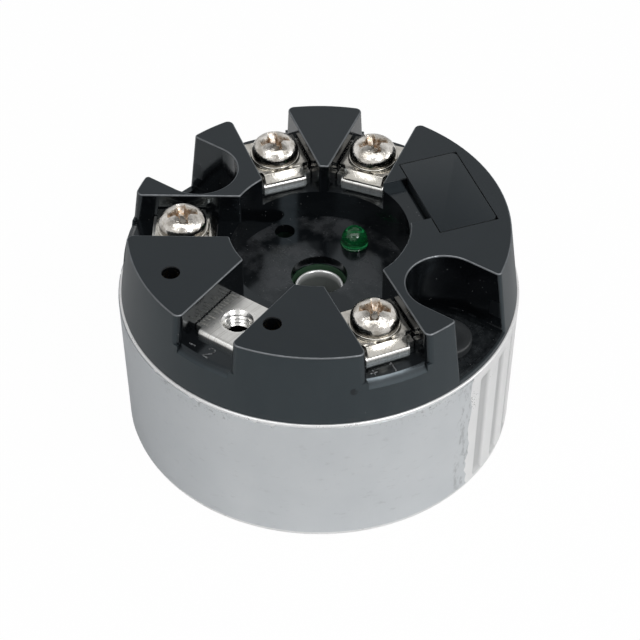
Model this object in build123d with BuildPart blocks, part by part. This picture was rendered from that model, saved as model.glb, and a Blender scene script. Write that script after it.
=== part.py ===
from build123d import *
from math import cos, radians, sin, sqrt
import os

# Temperature transmitter for mounting in a connection head, 44 mm across.
# Millimetres, +Z up. The origin is the centre of the base, +X runs through the mounting holes.

# Silver cup
rim_radius = 22.0
cup_draft = 0.4
cup_height = 17.5
cup_wall = 1.7
cup_floor = 1.6
rim_chamfer = 0.2
foot_chamfer = 0.5
flute_depth = 0.35
flute_pitch = 9.6
flute_width = 4.6
flute_first = -0.8
flute_count = 14
flute_start = 0.9
flute_below_rim = 1.5

# Label foil around the smooth part of the cup
label_thickness = 0.1
label_margin = 0.7
label_below_rim = 0.3
label_end = -8.7
label_arc = 218.0

# Black terminal block
block_top = 26.0
block_setback = 0.25
block_slope = 1.05
well_radius = 9.8
well_floor = 18.6
channel_floor = 22.3
channel_width = 6.6
channel_lip = 0.7
corner_rounding = 0.7
notch_corner_rounding = 0.4
tip_rounding = 0.3
top_rounding = 0.2
skirt_clearance = 0.12
skirt_thickness = 0.9
skirt_depth = 1.2

# Mounting holes, notches above them and the caps that close them
mount_pitch = 33.0
mount_hole_radius = 2.25
mount_boss_radius = 3.3
notch_radius = 4.2
notch_centre = 16.2
ledge_height = 17.6
ledge_lip_height = 0.4
ledge_lip = 0.75
pad_depth = 1.4
pad_radius = 3.9
cap_radius = 2.85
cap_height = 0.9
cap_plug_length = 1.2
cap_fit = 0.05
cap_edge = 0.25

# Centre passage
passage_radius = 3.1
sleeve_radius = 2.7
sleeve_bore = 2.35
sleeve_top = 17.0
sleeve_boss_radius = 4.2
sleeve_boss_height = 4.4
sleeve_fit = 0.05

# Terminals: direction, sideways offset, side the wire enters from (1 outside, -1 centre)
terminals = [
    (214.2, -1.2, -1),
    (144.8, 0.0, -1),
    (104.2, -0.78, -1),
    (-32.0, 0.0, 1),
    (270.0, 0.0, 1),
]
clamped_terminals = 4
screw_circle = 14.8
plate_width = 6.4
plate_thickness = 0.8
plate_back = 3.4
plate_reach = 3.6
plate_bend = 0.5
collar_radius = 1.95
collar_length = 1.1
core_radius = 1.3
tail_width = 1.4
tail_thickness = 0.8
tail_side = 2.2
tail_fit = 0.15

clamp_width = 6.2
clamp_thickness = 0.85
clamp_front = 4.1
clamp_back = 3.0
clamp_slope = 0.95
clamp_nose = 0.8
clamp_nose_gap = 0.05
clamp_lift = 0.25
clamp_hole_radius = 1.65
clamp_slit = 0.25
clamp_slit_depth = 0.2
clamp_slit_spacing = 1.3

washer_radius = 2.95
washer_bore = 1.65
washer_thickness = 0.35
washer_split = 0.45
washer_edge = 0.1

head_radius = 2.6
head_height = 2.1
head_side = 1.2
head_edge = 0.2
shank_radius = 1.25
shank_length = 5.4
shank_tip = 0.35
recess_width = 0.75
recess_span = 3.3
recess_depth = 1.15
screw_well_radius = 2.3
screw_well_floor = 18.4
screw_turns = [11, -4, 37, -26]

# Cover over the programming connector
cover_direction = 54.8
cover_inner = 11.8
cover_outer = 18.4
cover_width = 12.0
cover_shift = 0.4
cover_thickness = 1.5
cover_gap = 0.12
cover_rest_gap = 0.05
cover_corner = 0.6
cover_edge = 0.2
hinge_inset = 0.45
hinge_pin_radius = 0.25
hinge_pin_length = 0.5
hinge_fit = 0.05
pocket_ledge = 0.8
relief_width = 7.25
relief_shift = 0.5
relief_depth = 1.05
relief_run = 1.2
finger_gap = 0.4
finger_depth = 1.3

# Status light
light_x = 0.15
light_y = 6.6
lens_radius = 1.45
lens_side = 0.75
lens_flange_radius = 1.7
lens_flange = 0.25
lens_stem_radius = 1.2
lens_stem = 0.5
lens_fit = 0.05
chip_length = 1.6
chip_width = 0.8
chip_height = 0.5

# Small round holes
filling_x = -7.35
filling_y = 3.75
filling_radius = 1.13
test_holes = [(-8.25, -15.35), (5.05, -15.5)]
test_hole_radius = 1.0
test_contact_radius = 1.25
test_contact_bore = 0.8
test_contact_floor = 0.8
test_contact_top = 24.0
test_contact_fit = 0.05
test_pin_radius = 0.4
test_pin_gap = 0.15

# Circuit boards
board_thickness = 1.6
board_edge_gap = 0.25
board_notch_gap = 0.4
board_bore_gap = 0.05
terminal_board_gap = 0.05
main_board_bottom = 6.2
pin_protrusion = 0.35
rib_count = 4
rib_width = 1.2
rib_overlap = 0.8

# Parts on the boards
strip_length = 10.2
strip_width = 2.5
strip_height = 2.5
strip_y = -14.6
strip_pins = 4
strip_pitch = 2.54
pin_size = 0.64
pin_hole_radius = 0.55
core_length = 9.0
core_width = 7.0
core_height = 6.2
core_frame = 1.3
core_x = -9.6
core_y = -7.4
winding_length = 4.6
capacitor_radius = 2.5
capacitor_height = 6.4
capacitor_groove = 0.25
capacitor_edge = 0.4
capacitor_places = [(9.2, -7.6), (9.2, -13.4)]
processor_size = 7.0
processor_height = 1.2
processor_x = -3.6
processor_y = 10.8
lead_width = 0.35
lead_reach = 0.8
lead_height = 0.25
lead_pitch = 1.0
lead_count = 6
converter_length = 4.0
converter_width = 6.0
converter_height = 1.5
converter_x = 7.4
converter_y = 9.6
converter_leads = 4
connector_width = 4.0
connector_length = 8.0
connector_height = 4.6
connector_wall = 0.7
connector_floor = 1.0
connector_pins = 3
connector_pin_height = 2.6

# Casting compound in the bottom of the cup
potting_depth = 4.0

# Derived heights and radii
base_radius = rim_radius - cup_draft
block_foot_radius = rim_radius - block_setback
block_top_radius = block_foot_radius - block_slope
ledge_radius = block_foot_radius - ledge_lip
cavity_radius = rim_radius - cup_wall
terminal_board_top = cup_height - terminal_board_gap
terminal_board_bottom = terminal_board_top - board_thickness
main_board_top = main_board_bottom + board_thickness
boss_top = ledge_height - pad_depth
plate_top = channel_floor + plate_thickness
clamp_underside = plate_top + clamp_lift
clamp_top = clamp_underside + clamp_thickness
head_base = clamp_top + washer_thickness
head_top = head_base + head_height
dome_height = head_height - head_side
dome_radius = (head_radius ** 2 + dome_height ** 2) / (2 * dome_height)
pin_end = terminal_board_bottom - pin_protrusion
skirt_radius = cavity_radius - skirt_clearance
board_radius = skirt_radius - skirt_thickness - board_edge_gap
board_notch_radius = pad_radius + board_notch_gap
board_bore_radius = passage_radius - board_bore_gap
lens_base = well_floor - lens_stem
pocket_floor = block_top - cover_thickness - cover_rest_gap
hinge_height = block_top - hinge_inset
hinge_reach = cover_outer - hinge_inset
mount_places = [(mount_pitch / 2, 0), (-mount_pitch / 2, 0)]
strip_places = [
    ((index - (strip_pins - 1) / 2) * strip_pitch, strip_y)
    for index in range(strip_pins)
]


def cup_surface(height):
    """Radius of the slightly drafted cup at a height."""
    return base_radius + (rim_radius - base_radius) * height / cup_height


def reach(edge):
    """Distance of an edge's middle from the centre axis."""
    return sqrt(edge.center().X ** 2 + edge.center().Y ** 2)


def block_surface(height):
    """Radius of the sloping block side at a height."""
    rise = (height - cup_height) / (block_top - cup_height)
    return block_foot_radius + (block_top_radius - block_foot_radius) * rise


def radial_plane(angle):
    """Upright plane through the axis, its x pointing outwards at an angle."""
    turn = radians(angle)
    return Plane(origin=(0, 0, 0), x_dir=(cos(turn), sin(turn), 0), z_dir=(sin(turn), -cos(turn), 0))


def channel_plane(terminal, height):
    """Level plane on a channel's centre line, x outwards."""
    turn = radians(terminal[0])
    origin = (-terminal[1] * sin(turn), terminal[1] * cos(turn), height)
    return Plane(origin=origin, x_dir=(cos(turn), sin(turn), 0), z_dir=(0, 0, 1))


def screw_plane(terminal, height):
    """Level plane on a terminal's screw axis, x towards the side the wire enters from."""
    turn = radians(terminal[0])
    centre = channel_plane(terminal, height).origin
    out = Vector(cos(turn), sin(turn), 0)
    return Plane(origin=centre + out * screw_circle, x_dir=out * terminal[2], z_dir=(0, 0, 1))


def screw_side_plane(terminal):
    """Upright plane along a terminal, x towards the wire entry and y up."""
    level = screw_plane(terminal, 0)
    return Plane(origin=level.origin, x_dir=level.x_dir, z_dir=level.y_dir * -1)


def entry_axis(terminal):
    """Axis through the centre towards the side the wire enters from."""
    return Axis((0, 0, 0), screw_plane(terminal, 0).x_dir)


def cover_plane(height):
    """Level plane with x outwards through the middle of the cover."""
    turn = radians(cover_direction)
    return Plane(origin=(0, 0, height), x_dir=(cos(turn), sin(turn), 0), z_dir=(0, 0, 1))


def hinge_plane():
    """Upright plane across the middle of the cover's hinge axis."""
    level = cover_plane(hinge_height)
    centre = level.origin + level.x_dir * hinge_reach + level.y_dir * cover_shift
    return Plane(origin=centre, x_dir=level.x_dir, z_dir=level.y_dir * -1)


# Cup with fluted grip, mounting tubes and board ribs
with BuildPart() as housing_cup:
    with BuildSketch(Plane.XZ):
        with BuildLine():
            Polyline(
                (0, 0),
                (base_radius, 0),
                (rim_radius, cup_height),
                (cavity_radius, cup_height),
                (cavity_radius, cup_floor),
                (0, cup_floor),
                close=True,
            )
        make_face()
    revolve(axis=Axis.Z)
    chamfer(housing_cup.edges().filter_by(GeomType.CIRCLE).group_by(Axis.Z)[0], foot_chamfer)
    rim_edges = housing_cup.edges().filter_by(GeomType.CIRCLE).group_by(Axis.Z)[-1]
    chamfer(rim_edges.sort_by(SortBy.RADIUS)[-1], rim_chamfer)
    with BuildSketch(Plane.XY.offset(cup_floor)):
        with Locations(*mount_places):
            Circle(mount_boss_radius)
    extrude(amount=boss_top - cup_floor)
    with BuildSketch(Plane.XY.offset(cup_floor)):
        Circle(sleeve_boss_radius)
    extrude(amount=sleeve_boss_height)
    with BuildSketch(Plane.XY.offset(cup_floor)):
        with PolarLocations(cavity_radius, rib_count, 45):
            Rectangle(2 * (cavity_radius - board_radius + rib_overlap), rib_width)
        Circle(cavity_radius, mode=Mode.INTERSECT)
    extrude(amount=main_board_bottom - cup_floor)
    with BuildSketch(Plane.XY):
        with Locations(*mount_places):
            Circle(mount_hole_radius)
        Circle(sleeve_radius + sleeve_fit)
    extrude(amount=cup_height, mode=Mode.SUBTRACT)
    for flute in range(flute_count):
        flute_top = cup_height - flute_below_rim
        with BuildSketch(radial_plane(flute_first + flute_pitch * flute - flute_width / 2)):
            with BuildLine():
                Polyline(
                    (cup_surface(flute_start) - flute_depth, flute_start),
                    (rim_radius + flute_depth, flute_start),
                    (rim_radius + flute_depth, flute_top),
                    (cup_surface(flute_top) - flute_depth, flute_top),
                    close=True,
                )
            make_face()
        revolve(axis=Axis.Z, revolution_arc=flute_width, mode=Mode.SUBTRACT)
housing_cup.part.label = "housing_cup"

# Thin foil label bent around the smooth part
with BuildPart() as wrap_label:
    label_top = cup_height - label_below_rim
    with BuildSketch(radial_plane(label_end - label_arc)):
        with BuildLine():
            Polyline(
                (cup_surface(label_margin), label_margin),
                (cup_surface(label_margin) + label_thickness, label_margin),
                (cup_surface(label_top) + label_thickness, label_top),
                (cup_surface(label_top), label_top),
                close=True,
            )
        make_face()
    revolve(axis=Axis.Z, revolution_arc=label_arc)
wrap_label.part.label = "wrap_label"

# Sloping outer lips of the channels, taken out of the block
with BuildPart() as channel_lips:
    with BuildSketch(Plane.XZ):
        with BuildLine():
            Polyline(
                (block_surface(channel_floor) - channel_lip, channel_floor),
                (block_surface(channel_floor) + channel_lip, channel_floor - 2 * channel_lip),
                (block_surface(channel_floor) + channel_lip, channel_floor),
                close=True,
            )
        make_face()
    revolve(axis=Axis.Z)
    with BuildSketch(Plane.XY.offset(channel_floor - 2 * channel_lip)):
        for terminal in terminals:
            with Locations(channel_plane(terminal, 0).location):
                with Locations((rim_radius / 2 + well_radius / 2, 0)):
                    Rectangle(rim_radius, channel_width)
    extrude(amount=2 * channel_lip, mode=Mode.INTERSECT)

# Terminal block: sloping disc, round well, wire channels and mounting notches
with BuildPart() as terminal_block:
    with BuildSketch(Plane.XZ):
        with BuildLine():
            Polyline(
                (0, cup_height),
                (block_foot_radius, cup_height),
                (block_top_radius, block_top),
                (0, block_top),
                close=True,
            )
        make_face()
    revolve(axis=Axis.Z)
    with BuildSketch(Plane.XY.offset(well_floor)):
        Circle(well_radius)
    extrude(amount=block_top - well_floor, mode=Mode.SUBTRACT)
    for terminal in terminals:
        with BuildSketch(channel_plane(terminal, channel_floor)):
            with Locations((rim_radius, 0)):
                Rectangle(2 * (rim_radius - well_radius / 2), channel_width)
        extrude(amount=block_top - channel_floor, mode=Mode.SUBTRACT)
    upright = terminal_block.edges().filter_by(lambda edge: edge.bounding_box().size.Z > top_rounding)
    outer_corners = upright.filter_by(lambda edge: edge.center().Z > channel_floor and reach(edge) > block_top_radius)
    fillet(outer_corners, corner_rounding)
    upright = terminal_block.edges().filter_by(Axis.Z)
    inner_tips = upright.filter_by(lambda edge: abs(edge.length - block_top + channel_floor) < 0.01)
    inner_tips = inner_tips.filter_by(lambda edge: abs(reach(edge) - well_radius) < 0.01)
    fillet(inner_tips, tip_rounding)
    add(channel_lips.part, mode=Mode.SUBTRACT)
    for side in (0, 180):
        with BuildSketch(Plane.XY.rotated((0, 0, side)).offset(ledge_height + ledge_lip_height)):
            with Locations((notch_centre, 0)):
                Circle(notch_radius)
            with Locations((notch_centre + rim_radius / 2, 0)):
                Rectangle(rim_radius, 2 * notch_radius)
        extrude(amount=block_top - ledge_height, mode=Mode.SUBTRACT)
        with BuildSketch(Plane.XY.rotated((0, 0, side)).offset(ledge_height)):
            with Locations((notch_centre, 0)):
                Circle(notch_radius)
            with Locations((notch_centre + rim_radius / 2, 0)):
                Rectangle(rim_radius, 2 * notch_radius)
            Circle(ledge_radius, mode=Mode.INTERSECT)
        extrude(amount=ledge_lip_height, mode=Mode.SUBTRACT)
    upright = terminal_block.edges().filter_by(lambda edge: abs(abs(edge.center().Y) - notch_radius) < 0.3)
    upright = upright.filter_by(lambda edge: edge.bounding_box().size.Z > channel_floor - ledge_height)
    fillet(upright.filter_by(lambda edge: reach(edge) > block_top_radius), notch_corner_rounding)
    fillet(terminal_block.edges().group_by(Axis.Z)[-1], top_rounding)

    # Cover pocket, its way down to the boards, hinge seats and finger relief
    with BuildSketch(cover_plane(pocket_floor)):
        with Locations(((cover_inner + cover_outer) / 2, cover_shift)):
            Rectangle(cover_outer - cover_inner + 2 * cover_gap, cover_width + 2 * cover_gap)
    extrude(amount=block_top - pocket_floor, mode=Mode.SUBTRACT)
    with BuildSketch(cover_plane(cup_height)):
        with Locations(((cover_inner + cover_outer) / 2, cover_shift)):
            Rectangle(cover_outer - cover_inner - 2 * pocket_ledge, cover_width - 2 * pocket_ledge)
    extrude(amount=block_top - cup_height, mode=Mode.SUBTRACT)
    with BuildSketch(hinge_plane()):
        Circle(hinge_pin_radius + hinge_fit)
    extrude(amount=cover_width / 2 + hinge_pin_length + cover_gap, both=True, mode=Mode.SUBTRACT)
    with BuildSketch(cover_plane(block_top - relief_depth)):
        with Locations(((well_radius - relief_run + cover_inner) / 2, relief_shift)):
            Rectangle(cover_inner - well_radius + relief_run, relief_width)
    extrude(amount=relief_depth, mode=Mode.SUBTRACT)
    with BuildSketch(cover_plane(block_top - finger_depth)):
        with Locations((cover_inner - finger_gap / 2, relief_shift)):
            Rectangle(finger_gap, relief_width)
    extrude(amount=finger_depth, mode=Mode.SUBTRACT)
    # Seats of screws and plate tails
    for terminal in terminals:
        with BuildSketch(screw_plane(terminal, screw_well_floor)):
            Circle(screw_well_radius)
        extrude(amount=channel_floor - screw_well_floor, mode=Mode.SUBTRACT)
        with BuildSketch(screw_plane(terminal, cup_height)):
            with Locations((-plate_back + tail_thickness / 2, tail_side), (-plate_back + tail_thickness / 2, -tail_side)):
                Rectangle(tail_thickness + 2 * tail_fit, tail_width + 2 * tail_fit)
        extrude(amount=channel_floor - cup_height, mode=Mode.SUBTRACT)
    # Openings of the well floor and the test points
    with BuildSketch(Plane.XY.offset(cup_height)):
        Circle(passage_radius)
        with Locations((filling_x, filling_y)):
            Circle(filling_radius)
        with Locations((light_x, light_y)):
            Circle(lens_stem_radius + lens_fit)
    extrude(amount=well_floor - cup_height, mode=Mode.SUBTRACT)
    with BuildSketch(Plane.XY.offset(cup_height)):
        with Locations(*test_holes):
            Circle(test_contact_radius + test_contact_fit)
    extrude(amount=test_contact_top - cup_height, mode=Mode.SUBTRACT)
    with BuildSketch(Plane.XY.offset(test_contact_top)):
        with Locations(*test_holes):
            Circle(test_hole_radius)
    extrude(amount=block_top - test_contact_top, mode=Mode.SUBTRACT)
    # Pads over the mounting tubes and the skirt that centres the block in the cup
    with BuildSketch(Plane.XY.offset(boss_top)):
        with Locations(*mount_places):
            Circle(pad_radius)
        Circle(skirt_radius, mode=Mode.INTERSECT)
    extrude(amount=pad_depth - ledge_height + cup_height)
    with BuildSketch(Plane.XY.offset(cup_height - skirt_depth)):
        Circle(skirt_radius)
        Circle(skirt_radius - skirt_thickness, mode=Mode.SUBTRACT)
    extrude(amount=skirt_depth)
    with BuildSketch(Plane.XY.offset(boss_top)):
        with Locations(*mount_places):
            Circle(mount_hole_radius)
    extrude(amount=pad_depth, mode=Mode.SUBTRACT)
terminal_block.part.label = "terminal_block"

# Terminal plates with threaded collar and soldering tails
plates = []
for number, terminal in enumerate(terminals, start=1):
    with BuildPart() as terminal_plate:
        with BuildSketch(screw_side_plane(terminal)):
            with Locations(((plate_reach - plate_back) / 2, channel_floor + plate_thickness / 2)):
                Rectangle(plate_reach + plate_back, plate_thickness)
        extrude(amount=plate_width / 2, both=True)
        bend = terminal_plate.edges().filter_by(lambda edge: abs(edge.length - plate_width) < 0.01)
        fillet(bend.group_by(Axis.Z)[-1].sort_by(entry_axis(terminal))[-1], plate_bend)
        with BuildSketch(screw_plane(terminal, channel_floor)):
            Circle(collar_radius)
        extrude(amount=-collar_length)
        with BuildSketch(screw_plane(terminal, pin_end)):
            with Locations((-plate_back + tail_thickness / 2, tail_side), (-plate_back + tail_thickness / 2, -tail_side)):
                Rectangle(tail_thickness, tail_width)
        extrude(amount=channel_floor - pin_end)
        with BuildSketch(screw_plane(terminal, channel_floor - collar_length)):
            Circle(core_radius)
        extrude(amount=plate_top - channel_floor + collar_length, mode=Mode.SUBTRACT)
    terminal_plate.part.label = "terminal_plate_" + str(number)
    plates.append(terminal_plate)

# Wire clamps, washers and screws of the equipped terminals
clamps = []
washers = []
screws = []
for number, terminal in enumerate(terminals[:clamped_terminals], start=1):
    with BuildPart() as clamp_plate:
        with BuildSketch(screw_side_plane(terminal)):
            with BuildLine():
                Polyline(
                    (-clamp_back, clamp_top),
                    (-clamp_back, clamp_underside),
                    (clamp_front - clamp_nose, clamp_underside),
                    (clamp_front - clamp_nose, plate_top + clamp_nose_gap),
                    (clamp_front, plate_top + clamp_nose_gap),
                    (clamp_front, clamp_top),
                    close=True,
                )
            make_face()
        extrude(amount=clamp_width / 2, both=True)
        bend = clamp_plate.edges().filter_by(lambda edge: abs(edge.length - clamp_width) < 0.01)
        chamfer(bend.group_by(Axis.Z)[-1].sort_by(entry_axis(terminal))[-1], clamp_slope)
        with BuildSketch(screw_plane(terminal, clamp_underside)):
            Circle(clamp_hole_radius)
        extrude(amount=clamp_thickness, mode=Mode.SUBTRACT)
        with BuildSketch(screw_plane(terminal, clamp_top - clamp_slit_depth)):
            with Locations((washer_radius, clamp_slit_spacing / 2), (washer_radius, -clamp_slit_spacing / 2)):
                Rectangle(2 * clamp_slit, clamp_slit)
        extrude(amount=clamp_slit_depth, mode=Mode.SUBTRACT)
    clamp_plate.part.label = "clamp_plate_" + str(number)
    clamps.append(clamp_plate)

    with BuildPart() as lock_washer:
        with BuildSketch(screw_plane(terminal, clamp_top)):
            Circle(washer_radius)
            Circle(washer_bore, mode=Mode.SUBTRACT)
            with Locations((0, (washer_radius + washer_bore) / 2)):
                Rectangle(washer_split, washer_radius, mode=Mode.SUBTRACT)
        extrude(amount=washer_thickness)
        rims = lock_washer.edges().filter_by(GeomType.CIRCLE)
        chamfer(rims.filter_by(lambda edge: edge.radius > washer_bore + 0.01), washer_edge)
    lock_washer.part.label = "lock_washer_" + str(number)
    washers.append(lock_washer)

    with BuildPart() as terminal_screw:
        with BuildSketch(screw_side_plane(terminal)):
            with BuildLine():
                Polyline(
                    (0, head_top),
                    (0, head_base - shank_length),
                    (shank_radius - shank_tip, head_base - shank_length),
                    (shank_radius, head_base - shank_length + shank_tip),
                    (shank_radius, head_base),
                    (head_radius, head_base),
                    (head_radius, head_base + head_side),
                )
                RadiusArc((head_radius, head_base + head_side), (0, head_top), -dome_radius)
            make_face()
        revolve(axis=Axis(screw_plane(terminal, 0).origin, (0, 0, 1)))
        with BuildSketch(screw_plane(terminal, head_top - recess_depth)):
            with Locations(Rotation(0, 0, screw_turns[number - 1])):
                Rectangle(recess_span, recess_width)
                Rectangle(recess_width, recess_span)
        extrude(amount=recess_depth, mode=Mode.SUBTRACT)
        rims = terminal_screw.edges().filter_by(GeomType.CIRCLE)
        rims = rims.filter_by(lambda edge: abs(edge.radius - head_radius) < 0.01)
        chamfer(rims, head_edge)
    terminal_screw.part.label = "terminal_screw_" + str(number)
    screws.append(terminal_screw)

# Cover with hinge pins
with BuildPart() as interface_cover:
    with BuildSketch(cover_plane(block_top - cover_thickness)):
        with Locations(((cover_inner + cover_outer) / 2, cover_shift)):
            Rectangle(cover_outer - cover_inner, cover_width)
    extrude(amount=cover_thickness)
    outwards = Axis((0, 0, 0), cover_plane(0).x_dir)
    fillet(interface_cover.edges().filter_by(Axis.Z).group_by(outwards)[-1], cover_corner)
    under_edges = interface_cover.edges().group_by(Axis.Z)[0].sort_by(outwards)
    fillet(under_edges[-1], hinge_inset - hinge_fit)
    chamfer(interface_cover.edges().group_by(Axis.Z)[0].sort_by(outwards)[0], cover_edge)
    chamfer(interface_cover.edges().group_by(Axis.Z)[-1], cover_edge)
    with BuildSketch(hinge_plane()):
        Circle(hinge_pin_radius)
    extrude(amount=cover_width / 2 + hinge_pin_length, both=True)
interface_cover.part.label = "interface_cover"

# Light: domed lens with a stem that reaches down to its source
with BuildPart() as led_lens:
    with BuildSketch(Plane.XZ.offset(-light_y)):
        with BuildLine():
            Polyline(
                (light_x, lens_base),
                (light_x + lens_stem_radius, lens_base),
                (light_x + lens_stem_radius, well_floor),
                (light_x + lens_flange_radius, well_floor),
                (light_x + lens_flange_radius, well_floor + lens_flange),
                (light_x + lens_radius, well_floor + lens_flange),
                (light_x + lens_radius, well_floor + lens_flange + lens_side),
            )
            ThreePointArc(
                (light_x + lens_radius, well_floor + lens_flange + lens_side),
                (light_x + lens_radius * cos(radians(45)), well_floor + lens_flange + lens_side + lens_radius * sin(radians(45))),
                (light_x, well_floor + lens_flange + lens_side + lens_radius),
            )
            Line((light_x, well_floor + lens_flange + lens_side + lens_radius), (light_x, lens_base))
        make_face()
    revolve(axis=Axis((light_x, light_y, 0), (0, 0, 1)))
led_lens.part.label = "led_lens"

with BuildPart() as led_chip:
    with BuildSketch(Plane.XY.offset(terminal_board_top)):
        with Locations((light_x, light_y)):
            Rectangle(chip_length, chip_width)
    extrude(amount=chip_height)
led_chip.part.label = "led_chip"

# Tube of the wire passage
with BuildPart() as centre_sleeve:
    with BuildSketch():
        Circle(sleeve_radius)
        Circle(sleeve_bore, mode=Mode.SUBTRACT)
    extrude(amount=sleeve_top)
centre_sleeve.part.label = "centre_sleeve"

# Flat caps over the mounting holes
caps = []
for number, place in enumerate(mount_places, start=1):
    with BuildPart() as hole_cap:
        with BuildSketch(Plane.XY.offset(ledge_height)):
            with Locations(place):
                Circle(cap_radius)
        extrude(amount=cap_height)
        chamfer(hole_cap.edges().group_by(Axis.Z)[-1], cap_edge)
        with BuildSketch(Plane.XY.offset(ledge_height - cap_plug_length)):
            with Locations(place):
                Circle(mount_hole_radius - cap_fit)
        extrude(amount=cap_plug_length)
    hole_cap.part.label = "hole_cap_" + str(number)
    caps.append(hole_cap)

# Upper circuit board
with BuildPart() as terminal_board:
    with BuildSketch(Plane.XY.offset(terminal_board_bottom)):
        Circle(board_radius)
        Circle(board_bore_radius, mode=Mode.SUBTRACT)
        with Locations(*mount_places):
            Circle(board_notch_radius, mode=Mode.SUBTRACT)
        with Locations((filling_x, filling_y)):
            Circle(filling_radius + board_bore_gap, mode=Mode.SUBTRACT)
        with Locations(*test_holes):
            Circle(test_pin_radius + test_pin_gap, mode=Mode.SUBTRACT)
        with Locations(*strip_places):
            Circle(pin_hole_radius, mode=Mode.SUBTRACT)
    extrude(amount=board_thickness)
    for terminal in terminals:
        with BuildSketch(screw_plane(terminal, terminal_board_bottom)):
            with Locations((-plate_back + tail_thickness / 2, tail_side), (-plate_back + tail_thickness / 2, -tail_side)):
                Rectangle(tail_thickness + 2 * tail_fit, tail_width + 2 * tail_fit)
        extrude(amount=board_thickness, mode=Mode.SUBTRACT)
terminal_board.part.label = "terminal_board"

# Lower circuit board
with BuildPart() as main_board:
    with BuildSketch(Plane.XY.offset(main_board_bottom)):
        Circle(board_radius)
        Circle(board_bore_radius, mode=Mode.SUBTRACT)
        with Locations(*mount_places):
            Circle(board_notch_radius, mode=Mode.SUBTRACT)
        with Locations(*strip_places):
            Circle(pin_hole_radius, mode=Mode.SUBTRACT)
    extrude(amount=board_thickness)
main_board.part.label = "main_board"

# Pin strip between the boards
with BuildPart() as board_connector:
    with BuildSketch(Plane.XY.offset(main_board_top)):
        with Locations((0, strip_y)):
            Rectangle(strip_length, strip_width)
    extrude(amount=strip_height)
    with BuildSketch(Plane.XY.offset(main_board_bottom - pin_protrusion)):
        with Locations(*strip_places):
            Rectangle(pin_size, pin_size)
    extrude(amount=terminal_board_top - main_board_bottom + pin_protrusion)
board_connector.part.label = "board_connector"

# Open header under the cover
with BuildPart() as interface_connector:
    with BuildSketch(cover_plane(terminal_board_top)):
        with Locations(((cover_inner + cover_outer) / 2, cover_shift)):
            Rectangle(connector_width, connector_length)
    extrude(amount=connector_height)
    with BuildSketch(cover_plane(terminal_board_top + connector_floor)):
        with Locations(((cover_inner + cover_outer) / 2, cover_shift)):
            Rectangle(connector_width - 2 * connector_wall, connector_length - 2 * connector_wall)
    extrude(amount=connector_height, mode=Mode.SUBTRACT)
    with BuildSketch(cover_plane(terminal_board_top + connector_floor)):
        with Locations(((cover_inner + cover_outer) / 2, cover_shift)):
            with GridLocations(0, lead_pitch * 2, 1, connector_pins):
                Rectangle(pin_size, pin_size)
    extrude(amount=connector_pin_height)
interface_connector.part.label = "interface_connector"

# Transformer: ferrite frame with its winding
with BuildPart() as isolation_transformer:
    with BuildSketch(Plane.XY.offset(main_board_top)):
        with Locations((core_x, core_y)):
            Rectangle(core_length, core_width)
    extrude(amount=core_height)
    with BuildSketch(Plane.XZ.offset(-core_y)):
        with Locations((core_x, main_board_top + core_height / 2)):
            Rectangle(core_length - 2 * core_frame, core_height - 2 * core_frame)
    extrude(amount=core_width / 2, both=True, mode=Mode.SUBTRACT)
    with BuildSketch(Plane.YZ.offset(core_x)):
        with Locations((core_y, main_board_top + core_height / 2)):
            RectangleRounded(core_width, core_height - 2 * core_frame, core_frame)
    extrude(amount=winding_length / 2, both=True)
    with BuildSketch(Plane.YZ.offset(core_x)):
        with Locations((core_y, main_board_top + core_height / 2)):
            Rectangle(core_width - 2 * core_frame, core_frame)
    extrude(amount=core_length / 2, both=True)
isolation_transformer.part.label = "isolation_transformer"

# Storage capacitors
capacitors = []
for number, place in enumerate(capacitor_places, start=1):
    with BuildPart() as storage_capacitor:
        with BuildSketch(Plane.XZ.offset(-place[1])):
            with BuildLine():
                Polyline(
                    (place[0], main_board_top),
                    (place[0] + capacitor_radius, main_board_top),
                    (place[0] + capacitor_radius, main_board_top + capacitor_edge),
                    (place[0] + capacitor_radius - capacitor_groove, main_board_top + 2 * capacitor_edge),
                    (place[0] + capacitor_radius, main_board_top + 3 * capacitor_edge),
                    (place[0] + capacitor_radius, main_board_top + capacitor_height - capacitor_edge),
                    (place[0] + capacitor_radius - capacitor_edge, main_board_top + capacitor_height),
                    (place[0], main_board_top + capacitor_height),
                    close=True,
                )
            make_face()
        revolve(axis=Axis((place[0], place[1], 0), (0, 0, 1)))
    storage_capacitor.part.label = "storage_capacitor_" + str(number)
    capacitors.append(storage_capacitor)

# Chips with their leads
with BuildPart() as processor_chip:
    with BuildSketch(Plane.XY.offset(main_board_top)):
        with Locations((processor_x, processor_y)):
            with GridLocations(0, lead_pitch, 1, lead_count):
                Rectangle(processor_size + 2 * lead_reach, lead_width)
            with GridLocations(lead_pitch, 0, lead_count, 1):
                Rectangle(lead_width, processor_size + 2 * lead_reach)
    extrude(amount=lead_height)
    with BuildSketch(Plane.XY.offset(main_board_top)):
        with Locations((processor_x, processor_y)):
            Rectangle(processor_size, processor_size)
    extrude(amount=processor_height)
    chamfer(processor_chip.faces().sort_by(Axis.Z)[-1].edges(), lead_height)
processor_chip.part.label = "processor_chip"

with BuildPart() as converter_chip:
    with BuildSketch(Plane.XY.offset(main_board_top)):
        with Locations((converter_x, converter_y)):
            with GridLocations(0, lead_pitch, 1, converter_leads):
                Rectangle(converter_length + 2 * lead_reach, lead_width)
    extrude(amount=lead_height)
    with BuildSketch(Plane.XY.offset(main_board_top)):
        with Locations((converter_x, converter_y)):
            Rectangle(converter_length, converter_width)
    extrude(amount=converter_height)
    chamfer(converter_chip.faces().sort_by(Axis.Z)[-1].edges(), lead_height)
converter_chip.part.label = "converter_chip"

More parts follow.
